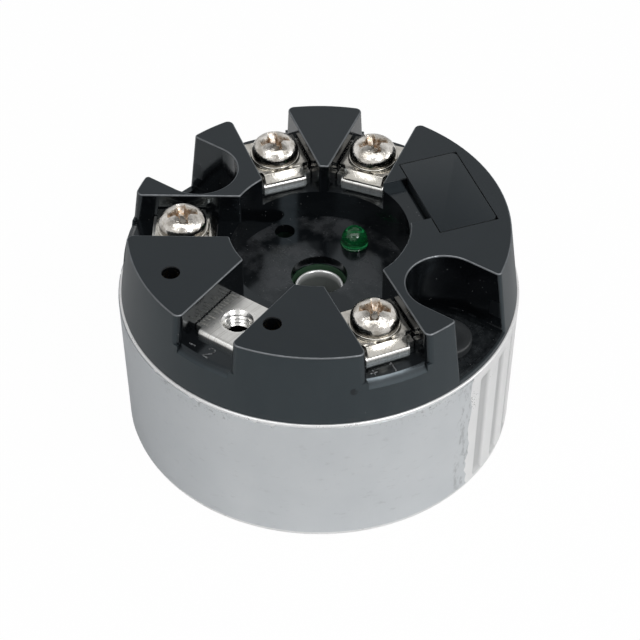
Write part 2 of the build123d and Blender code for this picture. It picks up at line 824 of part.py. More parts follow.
# Test sockets under the small holes of the block
contacts = []
for number, place in enumerate(test_holes, start=1):
    with BuildPart() as test_contact:
        with BuildSketch(Plane.XY.offset(terminal_board_top)):
            with Locations(place):
                Circle(test_contact_radius)
        extrude(amount=test_contact_top - terminal_board_top)
        with BuildSketch(Plane.XY.offset(terminal_board_top + test_contact_floor)):
            with Locations(place):
                Circle(test_contact_bore)
        extrude(amount=test_contact_top - terminal_board_top - test_contact_floor, mode=Mode.SUBTRACT)
        with BuildSketch(Plane.XY.offset(pin_end)):
            with Locations(place):
                Circle(test_pin_radius)
        extrude(amount=terminal_board_top - pin_end)
    test_contact.part.label = "test_contact_" + str(number)
    contacts.append(test_contact)

# Casting compound around the tubes and ribs
with BuildPart() as potting:
    with BuildSketch(Plane.XY.offset(cup_floor)):
        Circle(cavity_radius)
        Circle(sleeve_boss_radius, mode=Mode.SUBTRACT)
        with Locations(*mount_places):
            Circle(mount_boss_radius, mode=Mode.SUBTRACT)
        with PolarLocations(cavity_radius, rib_count, 45):
            Rectangle(2 * (cavity_radius - board_radius + rib_overlap), rib_width, mode=Mode.SUBTRACT)
    extrude(amount=potting_depth)
potting.part.label = "potting"

pieces = [
    housing_cup,
    wrap_label,
    terminal_block,
    interface_cover,
    led_lens,
    led_chip,
    centre_sleeve,
    terminal_board,
    main_board,
    board_connector,
    interface_connector,
    isolation_transformer,
    processor_chip,
    converter_chip,
    potting,
]
os.makedirs("parts", exist_ok=True)
for piece in pieces + plates + clamps + washers + screws + caps + capacitors + contacts:
    export_step(piece.part, "parts/" + piece.part.label + ".step")
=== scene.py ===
import bmesh
import bpy
from math import cos, degrees, pi, radians, sin
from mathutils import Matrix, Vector


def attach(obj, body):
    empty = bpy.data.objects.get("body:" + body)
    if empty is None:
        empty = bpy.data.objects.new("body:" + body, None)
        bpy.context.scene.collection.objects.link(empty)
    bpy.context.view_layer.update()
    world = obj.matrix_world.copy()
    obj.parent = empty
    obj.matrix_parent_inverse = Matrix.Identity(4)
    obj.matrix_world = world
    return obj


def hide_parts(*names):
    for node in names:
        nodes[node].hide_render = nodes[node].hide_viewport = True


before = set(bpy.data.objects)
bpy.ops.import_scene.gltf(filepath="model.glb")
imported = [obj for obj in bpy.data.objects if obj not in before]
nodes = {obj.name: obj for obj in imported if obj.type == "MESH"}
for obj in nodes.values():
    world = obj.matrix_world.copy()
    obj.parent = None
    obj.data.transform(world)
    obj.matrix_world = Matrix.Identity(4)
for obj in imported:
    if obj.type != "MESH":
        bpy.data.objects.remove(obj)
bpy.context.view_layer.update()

# Cup
# The cup is a light-alloy casting, sprayed silver, that holds both circuit boards. Its side is smooth
# where the label goes and has finger flutes over the rest. Tubes for the two mounting screws and a
# seat for the light tube stand on its floor.
MM = 0.001
UP = Vector((0, 0, 1))
rim_radius = 22.0
foot_radius = 21.6
cup_height = 17.5
cup_inside = 20.3
cup_floor = 1.6
seat_inside, seat_outside, seat_top = 2.75, 4.2, 6.0
first_flute, flute_pitch, flute_count = -0.8, 9.6, 14
flute_places = [first_flute + flute_pitch * number for number in range(flute_count)]
flute_depth = 0.34
flute_half_floor, flute_half_mouth = 1.5, 2.5
flute_foot = (0.75, 1.25)
flute_head = (15.75, 16.15)
mount_places = [(16.5, 0.0), (-16.5, 0.0)]
tube_radius, tube_top = 3.3, 16.2
tube_outline = [(0, 1.2), (tube_radius, 1.2), (tube_radius, tube_top - 0.2)]
tube_outline += [(tube_radius - 0.2, tube_top), (0, tube_top)]
bore_radius, bore_mouth = 2.25, 2.6
bore_outline = [(0, -1), (bore_mouth, -1), (bore_radius, 0.3), (bore_radius, 17), (0, 17)]


def finished(name, made, crease=35):
    """Turns a worked mesh into a piece, smooth but for edges sharper than crease degrees."""
    bmesh.ops.remove_doubles(made, verts=made.verts, dist=1e-7)
    bmesh.ops.recalc_face_normals(made, faces=made.faces)
    mesh = bpy.data.meshes.new(name)
    made.to_mesh(mesh)
    made.free()
    mesh.shade_smooth()
    mesh.set_sharp_from_angle(angle=radians(crease))
    piece = bpy.data.objects.new(name, mesh)
    bpy.context.scene.collection.objects.link(piece)
    return piece


def turned(name, outline, steps, centre=(0.0, 0.0), wave=None, closed=False, crease=35):
    """A piece turned about an upright axis from (radius, height) points. Wave moves a point outwards."""
    made = bmesh.new()
    rings = []
    for radius, height in outline:
        count = steps if radius else 1
        ring = []
        for step in range(count):
            turn = 2 * pi * step / steps
            reach = radius + (wave(radius, height, turn) if wave else 0.0)
            spot = Vector((centre[0] + reach * cos(turn), centre[1] + reach * sin(turn), height))
            ring.append(made.verts.new(spot * MM))
        rings.append(ring)
    pairs = list(zip(rings, rings[1:]))
    if closed:
        pairs.append((rings[-1], rings[0]))
    for lower, upper in pairs:
        for step in range(steps):
            after = step + 1
            corners = [lower[step % len(lower)], lower[after % len(lower)]]
            corners += [upper[after % len(upper)], upper[step % len(upper)]]
            corners = list(dict.fromkeys(corners))
            if len(corners) > 2:
                made.faces.new(corners)
    return finished(name, made, crease)


def worked(piece, crease=35):
    """Carries out the modifiers of a piece."""
    ready = piece.evaluated_get(bpy.context.evaluated_depsgraph_get())
    mesh = bpy.data.meshes.new_from_object(ready)
    piece.modifiers.clear()
    piece.data = mesh
    mesh.shade_smooth()
    mesh.set_sharp_from_angle(angle=radians(crease))
    return piece


def carved(piece, tools, operation="DIFFERENCE", crease=35):
    """Takes each tool out of the piece, or joins it on, and removes the tool."""
    for tool in tools:
        step = piece.modifiers.new("carve", "BOOLEAN")
        step.object = tool
        step.operation = operation
        step.solver = "EXACT"
    worked(piece, crease)
    for tool in tools:
        bpy.data.objects.remove(tool)
    return piece


def arc(centre, radius, start, end, steps):
    """Points on an arc, start and end in degrees."""
    turns = [radians(start + (end - start) * step / steps) for step in range(steps + 1)]
    return [(centre[0] + radius * cos(turn), centre[1] + radius * sin(turn)) for turn in turns]


def eased(value, low, high):
    """0 below low, 1 above high, smooth between."""
    share = min(max((value - low) / (high - low), 0.0), 1.0)
    return share * share * (3 - 2 * share)


def cup_surface(height):
    return foot_radius + (rim_radius - foot_radius) * height / cup_height


def flute(radius, height, turn):
    """How far the flutes pull the side in."""
    if radius < foot_radius - 0.2 or height > cup_height - 0.3:
        return 0.0
    tall = eased(height, *flute_foot) * (1 - eased(height, *flute_head))
    angle = degrees(turn)
    nearest = min(abs((angle - place + 180) % 360 - 180) for place in flute_places)
    return -flute_depth * tall * (1 - eased(nearest, flute_half_floor, flute_half_mouth))


side_heights = [0.75, 0.9, 1.05, 1.25, 2, 4, 6, 8, 10, 12, 14, 15.75, 15.88, 16.02, 16.15, 16.8, 17.0]
cup_outline = [(seat_inside, 0.0), (12.0, 0.0)] + arc((foot_radius - 0.49, 0.5), 0.5, -90, 0, 5)
cup_outline += [(cup_surface(height), height) for height in side_heights]
cup_outline += arc((rim_radius - 0.212, cup_height - 0.2), 0.2, 0, 90, 4)
cup_outline += [(cup_inside + 0.1, cup_height), (cup_inside, cup_height - 0.1), (cup_inside, cup_floor)]
cup_outline += [(seat_outside, cup_floor), (seat_outside, seat_top), (seat_inside, seat_top)]
cup = turned("cast_cup", cup_outline, 720, wave=flute, closed=True)
tubes = []
bores = []
for place in mount_places:
    tubes.append(turned("screw_tube", tube_outline, 64, place))
    bores.append(turned("screw_bore", bore_outline, 64, place))
carved(cup, tubes, "UNION")
carved(cup, bores)


class Tone:
    """A value or colour in a node tree. Sums and products written on it add the nodes for them."""

    def __init__(self, home, socket):
        self.home = home
        self.socket = socket

    def maths(self, operation, first, second=0.0):
        return self.home.node("ShaderNodeMath", {"operation": operation}, {0: first, 1: second})

    def __add__(self, other):
        return self.maths("ADD", self, other)

    def __radd__(self, other):
        return self.maths("ADD", other, self)

    def __sub__(self, other):
        return self.maths("SUBTRACT", self, other)

    def __rsub__(self, other):
        return self.maths("SUBTRACT", other, self)

    def __mul__(self, other):
        return self.maths("MULTIPLY", self, other)

    def __rmul__(self, other):
        return self.maths("MULTIPLY", other, self)

    def __pow__(self, other):
        return self.maths("POWER", self, other)

    def __abs__(self):
        return self.maths("ABSOLUTE", self)

    def wave(self):
        return self.maths("SINE", self)

    def most(self, other):
        return self.maths("MAXIMUM", self, other)

    def step(self, low, high):
        """0 at low, 1 at high, straight between. Low may be the larger one."""
        ends = {"Value": self, "From Min": low, "From Max": high, "To Min": 0.0, "To Max": 1.0}
        return self.home.node("ShaderNodeMapRange", {"clamp": True}, ends)

    def within(self, low, high, soft):
        """1 between low and high, fading out over soft."""
        return self.step(low - soft, low) * self.step(high + soft, high)


class NodeTree:
    """A node tree, to which nodes are added one by one."""

    def __init__(self, tree):
        self.tree = tree

    def node(self, kind, settings, values, output=0):
        """Adds a node: its settings first, then the values or links of its sockets."""
        made = self.tree.nodes.new(kind)
        for key, value in settings.items():
            if key != "stops":
                setattr(made, key, value)
                continue
            ramp = made.color_ramp.elements
            for index, (position, colour) in enumerate(value):
                stop = ramp[index] if index < 2 else ramp.new(position)
                stop.position = position
                stop.color = colour
        for key, value in values.items():
            if isinstance(value, Tone):
                self.tree.links.new(value.socket, made.inputs[key])
            else:
                made.inputs[key].default_value = value
        return Tone(self, made.outputs[output])

    def seen(self, *kinds):
        """1 for rays of any of the kinds."""
        share = 0.0
        for kind in kinds:
            share = self.node("ShaderNodeLightPath", {}, {}, "Is %s Ray" % kind).most(share)
        return share


class Finish(NodeTree):
    """A finish of the transmitter: a Principled shader, and what varies over its surface in millimetres."""

    def __init__(self, name, **steady):
        self.material = bpy.data.materials.new(name)
        self.material.use_nodes = True
        super().__init__(self.material.node_tree)
        self.shader = self.tree.nodes["Principled BSDF"]
        for socket, value in steady.items():
            self.shader.inputs[socket.replace("_", " ")].default_value = value
        metres = self.node("ShaderNodeTexCoord", {}, {}, "Object")
        self.spot = self.node("ShaderNodeVectorMath", {"operation": "SCALE"}, {0: metres, "Scale": 1 / MM})
        axes = [self.node("ShaderNodeSeparateXYZ", {}, {0: self.spot}, axis) for axis in "XYZ"]
        self.x, self.y, self.z = axes

    def noise(self, scale, detail=2.0, rough=0.5, stretch=(1, 1, 1), seed=0.0):
        """Cloudy noise from 0 to 1, scale in patches for each millimetre."""
        moved = {"Vector": self.spot, "Location": (seed, 2 * seed, 3 * seed), "Scale": stretch}
        at = self.node("ShaderNodeMapping", {}, moved)
        values = {"Vector": at, "Scale": scale, "Detail": detail, "Roughness": rough}
        return self.node("ShaderNodeTexNoise", {}, values)

    def specks(self, scale, size, share, seed=0.0):
        """Round specks: scale in cells a millimetre, size in parts of a cell, share of cells filled."""
        at = self.node("ShaderNodeMapping", {}, {"Vector": self.spot, "Location": (seed, seed, seed)})
        near = self.node("ShaderNodeTexVoronoi", {}, {"Vector": at, "Scale": scale}, "Distance")
        chance = self.node("ShaderNodeTexVoronoi", {}, {"Vector": at, "Scale": scale}, "Color")
        chance = self.node("ShaderNodeSeparateColor", {}, {0: chance}, "Red")
        return near.step(size, 0.5 * size) * chance.step(share + 0.01, share)

    def radius(self, centre=(0.0, 0.0)):
        """Distance from an upright axis."""
        across = self.x - centre[0]
        along = self.y - centre[1]
        return (across * across + along * along) ** 0.5

    def bearing(self):
        """Direction from the middle of the transmitter, in degrees from -180 to 180."""
        return self.node("ShaderNodeMath", {"operation": "ARCTAN2"}, {0: self.y, 1: self.x}) * (180 / pi)

    def blend(self, share, low, high):
        """Colour from low to high by share."""
        return self.node("ShaderNodeMix", {"data_type": "RGBA"}, {0: share, 6: low, 7: high}, 2)

    def bump(self, height, size, strength=1.0):
        """Relief from a height of 0 to 1 that stands for size millimetres."""
        values = {"Height": height, "Distance": size * MM, "Strength": strength}
        return self.node("ShaderNodeBump", {}, values)

    def give(self, **links):
        """Lets each named socket of the shader vary."""
        for socket, value in links.items():
            self.tree.links.new(value.socket, self.shader.inputs[socket.replace("_", " ")])

    def onto(self, *pieces):
        for piece in pieces:
            mesh = (nodes[piece] if isinstance(piece, str) else piece).data
            mesh.materials.clear()
            mesh.materials.append(self.material)


def fitted(piece, finish, body, slot, *replaced):
    """Gives a piece its finish, lets it ride on its body and stand for the nodes that it replaces."""
    finish.onto(piece)
    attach(piece, body)
    if replaced:
        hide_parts(*replaced)


cast = Finish("cast_silver", Metallic=0.7)
grain = cast.noise(5.0, 3.0)
cloud = cast.noise(0.25, 2.0, seed=3.0)
lifted = cast.radius().step(rim_radius - 0.5, rim_radius - 0.1)
dirt = cast.noise(1.6, 4.0, seed=8.0).step(0.62, 0.78) * cast.z.step(3.0, 0.3)
paint = cast.blend(cloud, (0.76, 0.762, 0.765, 1), (0.85, 0.852, 0.85, 1))
paint = cast.blend(dirt * 0.5, paint, (0.25, 0.25, 0.25, 1))
bearing = cast.bearing()
around = bearing - first_flute
# The flute grooves are painted darker: painted shade in the grooves.
painted_groove_shade = around.maths("PINGPONG", around, flute_pitch / 2).step(2.3, 1.7)
painted_groove_shade = painted_groove_shade * bearing.within(-4.0, 127.0, 0.5) * cast.z.within(0.9, 16.0, 0.2)
paint = cast.blend(painted_groove_shade * 0.55, paint, (0.36, 0.365, 0.37, 1))
cast.give(
    Base_Color=paint,
    Roughness=0.42 + 0.12 * (grain - 0.5) + 0.1 * (cloud - 0.5) - 0.12 * lifted,
    Normal=cast.bump(grain, 0.012, 0.6),
)
fitted(cup, cast, "housing", "cup_silver", "housing_cup")

# Label
# A strip of silver foil is glued round the smooth part of the cup. Its cut end by the flutes is ragged and
# crumpled, the crumples shown only by painted shade, the foil lies in soft ripples towards it, and handling
# has scuffed its upper edge.
label_end = -6.6
label_arc = 218.0
label_low, label_high = 0.72, 17.18
foil_thickness = 0.097
glue = 0.01
columns_round, rows_up = 436, 33
torn_columns = 4
nick_half = 0.8
nick_places = [(-106.9, 0.35), (-92.6, 0.3), (-90.3, 0.2), (-72.4, 0.3), (-67.6, 0.45)]
nick_places += [(-150.0, 0.25), (-200.0, 0.3)]


def ragged(height):
    """Degrees by which the cut end runs in and out."""
    tear = 0.45 * sin(1.1 * height + 0.4) + 0.25 * sin(3.7 * height) + 0.16 * sin(9.1 * height + 1.0)
    return tear + 0.12 * sin(21.0 * height)


def ripple(angle, height):
    """Millimetres by which the foil lies lower, near its loose end."""
    near = angle - label_end
    soft = 0.018 * (1 + sin(radians(near) * 45 + 0.15 * height)) * eased(near, -26, -4)
    return soft + 0.008 * (1 + sin(0.45 * angle + 0.2 * height))


def foil_edge(angle):
    """Upper edge of the foil with its nicks."""
    low = sum(depth * max(0.0, 1 - abs(angle - place) / nick_half) for place, depth in nick_places)
    return label_high - low


strip = bmesh.new()
columns = []
for step in range(columns_round + 1):
    angle = label_end - label_arc * step / columns_round
    column = []
    for row in range(rows_up + 1):
        height = label_low + (foil_edge(angle) - label_low) * row / rows_up
        shift = 0.0
        if step < torn_columns:
            shift = (ragged(height) - 0.75) * (1 - step / torn_columns)
        past = step - (columns_round - torn_columns)
        if past > 0:
            shift = 0.4 * (ragged(height + 5) + 0.9) * past / torn_columns
        turn = radians(angle + shift)
        layers = []
        for lift in (glue, foil_thickness - ripple(angle, height)):
            reach = cup_surface(height) + lift
            layers.append(strip.verts.new(Vector((reach * cos(turn), reach * sin(turn), height)) * MM))
        column.append(layers)
    columns.append(column)
for left, right in zip(columns, columns[1:]):
    for row in range(rows_up):
        for layer in (0, 1):
            corners = [left[row][layer], right[row][layer], right[row + 1][layer], left[row + 1][layer]]
            strip.faces.new(corners)
    for row in (0, rows_up):
        strip.faces.new([left[row][0], right[row][0], right[row][1], left[row][1]])
for column in (columns[0], columns[-1]):
    for low, high in zip(column, column[1:]):
        strip.faces.new([low[0], high[0], high[1], low[1]])
foil = finished("foil_label", strip, 50)
silver_foil = Finish("silver_foil", Metallic=0.6)
fine = silver_foil.noise(6.0, 3.0, stretch=(1, 1, 0.35))
cloud = silver_foil.noise(0.22, 3.0, seed=5.0)
worn = silver_foil.noise(2.4, 5.0, 0.65, seed=2.0).step(0.56, 0.68) * silver_foil.z.step(15.2, 16.9)
rubbed = worn * silver_foil.noise(0.12, 1.0, seed=11.0).step(0.46, 0.56)
stain = silver_foil.noise(0.7, 4.0, 0.6, stretch=(1, 1, 2.2), seed=7.0).step(0.6, 0.75)
foil_colour = silver_foil.blend(cloud, (0.54, 0.565, 0.585, 1), (0.63, 0.65, 0.665, 1))
bearing = silver_foil.bearing()
# The foil is painted darker round its left side, away from the lamps: painted shade.
painted_left_shade = bearing.step(-80, -130) * bearing.step(-178, -150)
foil_colour = silver_foil.blend(painted_left_shade * 0.55, foil_colour, (0.30, 0.325, 0.35, 1))
# Crumpled patches near the torn end are painted darker: painted shade in the crumples.
crumple_shade = silver_foil.noise(1.6, 5.0, 0.7, stretch=(1, 1, 0.4), seed=17.0).step(0.52, 0.6)
painted_end_shade = bearing.within(-12.0, -5.5, 1.0) * crumple_shade
foil_colour = silver_foil.blend(painted_end_shade * 0.45, foil_colour, (0.26, 0.27, 0.28, 1))
foil_colour = silver_foil.blend(stain * 0.3, foil_colour, (0.36, 0.37, 0.38, 1))
foil_colour = silver_foil.blend(rubbed * 0.85, foil_colour, (0.16, 0.165, 0.17, 1))
silver_foil.give(
    Base_Color=foil_colour,
    Roughness=0.40 + 0.10 * (fine - 0.5) + 0.16 * (cloud - 0.5) + 0.2 * rubbed,
    Normal=silver_foil.bump(fine + 2.0 * cloud, 0.012, 0.5),
)
fitted(foil, silver_foil, "housing", "label_foil", "wrap_label")

# Terminal block
# One black plastic moulding carries the terminals: satin on its faces, as the mould was blasted there,
# and glossy inside the wire channels, the well and the notches, where the mould was polished. The
# channels are numbered, the numbers standing up from their outer floors.
channel_floor = 22.3
block_top = 26.0
wall_foot, wall_lean = 21.72, 1.05 / 8.5
well_floor = (18.5, 18.7)
under_top = (25.998, 25.985)
number_reach, number_width = 19.7, 0.9
sign_shift, sign_half = 2.2, 0.4
stroke_radius, sign_radius = 0.085, 0.08
mark_place = (14.98, -15.08, 21.48)
# Each terminal's bearing, its shift sideways, and 1 for a wire from outside or -1 for one from the well.
terminals = [(214.2, -1.2, -1), (144.8, 0.0, -1), (104.2, -0.78, -1), (-32.0, 0.0, 1), (270.0, 0.0, 1)]
numbers = [3, 4, 5, 1, 2]
number_strokes = {
    1: [(-0.28, 0.42), (0.02, 0.7), (0.02, -0.7)],
    2: [(-0.42, 0.42), (-0.28, 0.64), (0.0, 0.7), (0.3, 0.62), (0.42, 0.34), (0.3, 0.05), (-0.44, -0.7),
        (0.46, -0.7)],
    3: [(-0.38, 0.62), (0.0, 0.72), (0.36, 0.55), (0.36, 0.2), (0.0, 0.04), (0.4, -0.18), (0.4, -0.52),
        (0.0, -0.72), (-0.4, -0.58)],
    4: [(0.2, -0.7), (0.2, 0.7), (-0.46, -0.26), (0.46, -0.26)],
    5: [(0.38, 0.7), (-0.3, 0.7), (-0.36, 0.06), (0.06, 0.16), (0.4, -0.06), (0.4, -0.46), (0.06, -0.72),
        (-0.38, -0.6)],
}


def moulded_stroke(name, points, radius):
    """A rounded stroke that stands up from the plastic, through points in millimetres."""
    line = bpy.data.curves.new(name, "CURVE")
    line.dimensions = "3D"
    line.bevel_depth = radius * MM
    line.bevel_resolution = 3
    line.use_fill_caps = True
    spline = line.splines.new("POLY")
    spline.points.add(len(points) - 1)
    for point, spot in zip(spline.points, points):
        point.co = (*(spot * MM), 1)
    piece = bpy.data.objects.new(name, line)
    bpy.context.scene.collection.objects.link(piece)
    return piece


def bearings(degrees_round):
    """The way out and the way sideways at a bearing."""
    turn = radians(degrees_round)
    return Vector((cos(turn), sin(turn), 0)), Vector((-sin(turn), cos(turn), 0))


number_pieces = []
for terminal, number in zip(terminals, numbers):
    out, side = bearings(terminal[0])
    middle = out * number_reach + side * terminal[1] + UP * channel_floor
    points = [middle + side * across * number_width - out * up for across, up in number_strokes[number]]
    number_pieces.append(moulded_stroke("number_%d_stroke_1" % number, points, stroke_radius))
    sign = middle - side * sign_shift
    if number < 3:
        bar = [sign + side * along for along in (-sign_half, sign_half)]
        number_pieces.append(moulded_stroke("sign_%d_bar" % number, bar, sign_radius))
    if number == 1:
        upright = [sign + out * along for along in (-sign_half, sign_half)]
        number_pieces.append(moulded_stroke("sign_1_upright", upright, sign_radius))

black = Finish("moulded_black", IOR=1.52, Specular_Tint=(0.68, 0.79, 0.86, 1))
reach = black.radius()
side_reach = wall_foot - wall_lean * (black.z - cup_height)
on_top = black.z.step(25.72, 25.86)
on_side = (reach - side_reach).step(-0.3, -0.12)
satin = on_top.most(on_side)
ledge = black.z.within(17.4, 18.1, 0.05) * reach.step(12.4, 12.7)
blasted = black.noise(7.0, 3.0, 0.6)
flow = black.noise(0.35, 3.0, 0.6, stretch=(1, 1, 0.4), seed=4.0)
mottle = black.noise(1.4, 4.0, 0.65, seed=9.0)
dust = black.specks(2.2, 0.11, 0.45) * black.noise(0.5, 2.0, seed=6.0).step(0.44, 0.56)
dust = dust * (1 - satin)
scratch = black.noise(0.4, 1.0, 0.5, stretch=(1, 6, 1), seed=3.0).step(0.72, 0.75)
scratch = scratch * black.z.within(*well_floor, 0.05)
# Cloudy smears on the well floor are rougher and painted lighter: real smears, and a painted blurred
# reflection.
smear_and_painted_reflection = black.noise(0.28, 4.0, 0.55, seed=15.0).step(0.46, 0.66) * black.z.within(*well_floor, 0.05)
deep = black.blend(smear_and_painted_reflection, (0.003, 0.0036, 0.0044, 1), (0.040, 0.042, 0.045, 1))
face = black.blend(flow, (0.0035, 0.005, 0.0065, 1), (0.007, 0.0095, 0.0115, 1))
# The outer walls get a lighter copy of the black than the top faces: painted light.
painted_lit_wall = black.blend(flow, (0.012, 0.017, 0.020, 1), (0.023, 0.029, 0.032, 1))
# A thin band just under the top, on the rounded top edges, is painted lighter and metallic: a painted
# highlight along the edges.
painted_edge_sheen = black.z.step(25.82, 25.9) * black.z.step(*under_top) * (0.35 + 0.9 * mottle)
plastic = black.blend(on_top, deep, face)
plastic = black.blend(on_side * (1 - on_top), plastic, painted_lit_wall)
plastic = black.blend(ledge * mottle.step(0.4, 0.7) * 0.6, plastic, (0.03, 0.033, 0.035, 1))
plastic = black.blend(dust * 0.6, plastic, (0.42, 0.43, 0.43, 1))
plastic = black.blend(scratch * 0.4, plastic, (0.09, 0.095, 0.1, 1))
plastic = black.blend(painted_edge_sheen, plastic, (0.19, 0.2, 0.21, 1))
mark_offsets = [axis - place for axis, place in zip((black.x, black.y, black.z), mark_place)]
mark = sum(offset * offset for offset in mark_offsets) ** 0.5
plastic = black.blend(mark.step(0.5, 0.3) * mottle.step(0.4, 0.5), plastic, (0.001, 0.001, 0.001, 1))
lip = black.z.within(20.0, 22.25, 0.03) * reach.step(19.5, 20.0) * (1 - on_side)
gloss = 0.14 + 0.12 * (flow - 0.5) + 0.10 * (mottle - 0.5) + 0.12 * ledge + 0.22 * smear_and_painted_reflection
matt = 0.40 + 0.06 * (flow - 0.5)
roughness = gloss * (1 - satin) + matt * satin + 0.06 * on_side - 0.10 * painted_edge_sheen
black.give(
    Base_Color=plastic,
    Metallic=painted_edge_sheen,
    Roughness=roughness + 0.3 * lip * black.z.step(22.2, 21.95),
    Normal=black.bump(blasted * satin + (1 - satin) * 0.5 * flow, 0.016, 0.7),
)
black.onto("terminal_block")
raised = Finish("raised_number", IOR=1.52)
worn = raised.noise(3.0, 3.0)
raised.give(
    Base_Color=raised.blend(worn.step(0.4, 0.62), (0.012, 0.013, 0.014, 1), (0.22, 0.23, 0.24, 1)),
    Roughness=0.22 + 0.2 * worn,
)
for piece in number_pieces:
    fitted(piece, raised, "housing", "block_black")

# Cover of the programming socket
# A small hinged plate, moulded in the same black plastic, lies flush in its pocket. Two pins on its
# outer edge snap into the block, and the step before its inner edge leaves room for a fingernail.
cover_out, cover_side = bearings(54.8)
cover_inner, cover_outer = 11.8, 18.4
cover_middle, cover_half = 0.4, 6.0
cover_low, cover_high = 24.5, block_top
hinge_round, corner_round = 0.4, 0.6
hinge_reach, hinge_height = 17.95, 25.55
pin_radius, pin_half, pin_sides = 0.245, 6.48, 20


def drawn_out(name, outline, frame_axes, low, high, crease=35):
    """A bar with a flat outline: frame_axes are its origin, the outline's two axes and the bar's own."""
    origin, first, second, along = frame_axes
    made = bmesh.new()
    ends = []
    for depth in (low, high):
        spots = [origin + first * across + second * up + along * depth for across, up in outline]
        ends.append([made.verts.new(Vector(spot) * MM) for spot in spots])
    count = len(outline)
    for number in range(count):
        after = (number + 1) % count
        made.faces.new([ends[0][number], ends[0][after], ends[1][after], ends[1][number]])
    made.faces.new(ends[0])
    made.faces.new(ends[1])
    return finished(name, made, crease)


def softened(piece, width, steps=2, limit=40):
    """Rounds the edges of a piece that are sharper than limit degrees."""
    step = piece.modifiers.new("soften", "BEVEL")
    step.width = width * MM
    step.segments = steps
    step.limit_method = "ANGLE"
    step.angle_limit = radians(limit)
    return worked(piece, 50)


low_side, high_side = cover_middle - cover_half, cover_middle + cover_half
cover_profile = [(cover_inner, cover_low), (cover_outer - hinge_round, cover_low)]
cover_profile += arc((cover_outer - hinge_round, cover_low + hinge_round), hinge_round, -80, 0, 6)
cover_profile += [(cover_outer, cover_high), (cover_inner, cover_high)]
lengthways = (Vector((0, 0, 0)), cover_out, UP, cover_side)
cover = drawn_out("hinged_cover", cover_profile, lengthways, low_side, high_side)
level = (Vector((0, 0, 0)), cover_out, cover_side, UP)
corner_reach = cover_outer - corner_round
cover_plan = [(cover_inner - 1, low_side), (corner_reach, low_side)]
cover_plan += arc((corner_reach, low_side + corner_round), corner_round, -75, 0, 5)
cover_plan += arc((corner_reach, high_side - corner_round), corner_round, 0, 75, 5)
cover_plan += [(corner_reach, high_side), (cover_inner - 1, high_side)]
carved(cover, [drawn_out("cover_plan", cover_plan, level, cover_low - 1, cover_high + 1)], "INTERSECT")
softened(cover, 0.13, 3, 50)
hinge_middle = cover_out * hinge_reach + cover_side * cover_middle + UP * hinge_height
pin_turns = [2 * pi * step / pin_sides for step in range(pin_sides)]
pin_ring = [(pin_radius * cos(turn), pin_radius * sin(turn)) for turn in pin_turns]
pin = drawn_out("hinge_pin", pin_ring, (hinge_middle, cover_out, UP, cover_side), -pin_half, pin_half)
carved(cover, [pin], "UNION")
lid = Finish("cover_black", IOR=1.52, Specular_Tint=(0.68, 0.79, 0.86, 1))
blasted = lid.noise(7.0, 3.0, 0.6)
flow = lid.noise(0.3, 3.0, 0.6, seed=14.0)
# A thin band on the rounded top edges is painted lighter and metallic: a painted highlight along the edges.
edge = lid.z.step(25.75, 25.86) * lid.z.step(*under_top)
top_face = lid.blend(flow, (0.0035, 0.005, 0.0065, 1), (0.0075, 0.010, 0.012, 1))
lid.give(
    Base_Color=lid.blend(edge, top_face, (0.16, 0.168, 0.175, 1)),
    Metallic=0.9 * edge,
    Roughness=0.42 + 0.06 * (flow - 0.5) - 0.12 * edge,
    Normal=lid.bump(blasted, 0.016, 0.7),
)
fitted(cover, lid, "cover", "cover_black", "interface_cover")

# Terminal plates
# Five plates stamped from brass strip and nickel-plated lie in the channels. The tap for the screw has
# drawn a collar down from each, two tails go down to the circuit board, and the end that the wire
# comes in over is bent down. Short grooves punched along both edges grip the wire.
screw_circle = 14.8
plate_top = 23.1
plate_inner, plate_outer, plate_half, plate_bend = -3.4, 3.6, 3.2, 0.5
collar_radius, collar_low = 1.95, 21.2
tail_half, tail_shift = 0.7, 2.2
tail_outline = [(-3.4, 22.35), (-3.4, 15.9), (-3.25, 15.5), (-2.75, 15.5), (-2.6, 15.9), (-2.6, 22.35)]
tap_crest, tap_root, tap_mouth, thread_pitch = 1.3, 1.5, 1.72, 0.5
corner_notch = [(2.9, 2.45), (4, 2.45), (4, 4), (2.9, 4)]
grip_count, grip_pitch = 13, 0.44


def terminal_axes(terminal):
    """Origin on the screw axis, the way the wire comes from, and the way across."""
    out, side = bearings(terminal[0])
    toward = out * terminal[2]
    return out * screw_circle + side * terminal[1], toward, UP.cross(toward)


def placed(terminal, along, sideways, height):
    origin, toward, across = terminal_axes(terminal)
    return origin + toward * along + across * sideways + UP * height


def plate_outline():
    """Side view of a plate: flat top and bent outer end."""
    top = [(plate_inner, channel_floor), (plate_inner, plate_top - 0.05), (plate_inner + 0.05, plate_top)]
    top += arc((plate_outer - plate_bend, plate_top - plate_bend), plate_bend, 90, 0, 6)
    return top + [(plate_outer, channel_floor)]


def tap_outline():
    """Half section of the tapped hole, with its thread and a mouth opened by the tap."""
    thread = [(0.0, 20.6), (tap_crest, 20.6)]
    height = collar_low
    while height < plate_top - 0.6:
        thread += [(tap_crest, height), (tap_root, height + 0.2)]
        thread += [(tap_root, height + 0.28), (tap_crest, height + 0.48)]
        height += thread_pitch
    thread += [(tap_crest + 0.08, plate_top - 0.3), (tap_mouth, plate_top + 0.02)]
    return thread + [(tap_mouth, plate_top + 0.5), (0, plate_top + 0.5)]


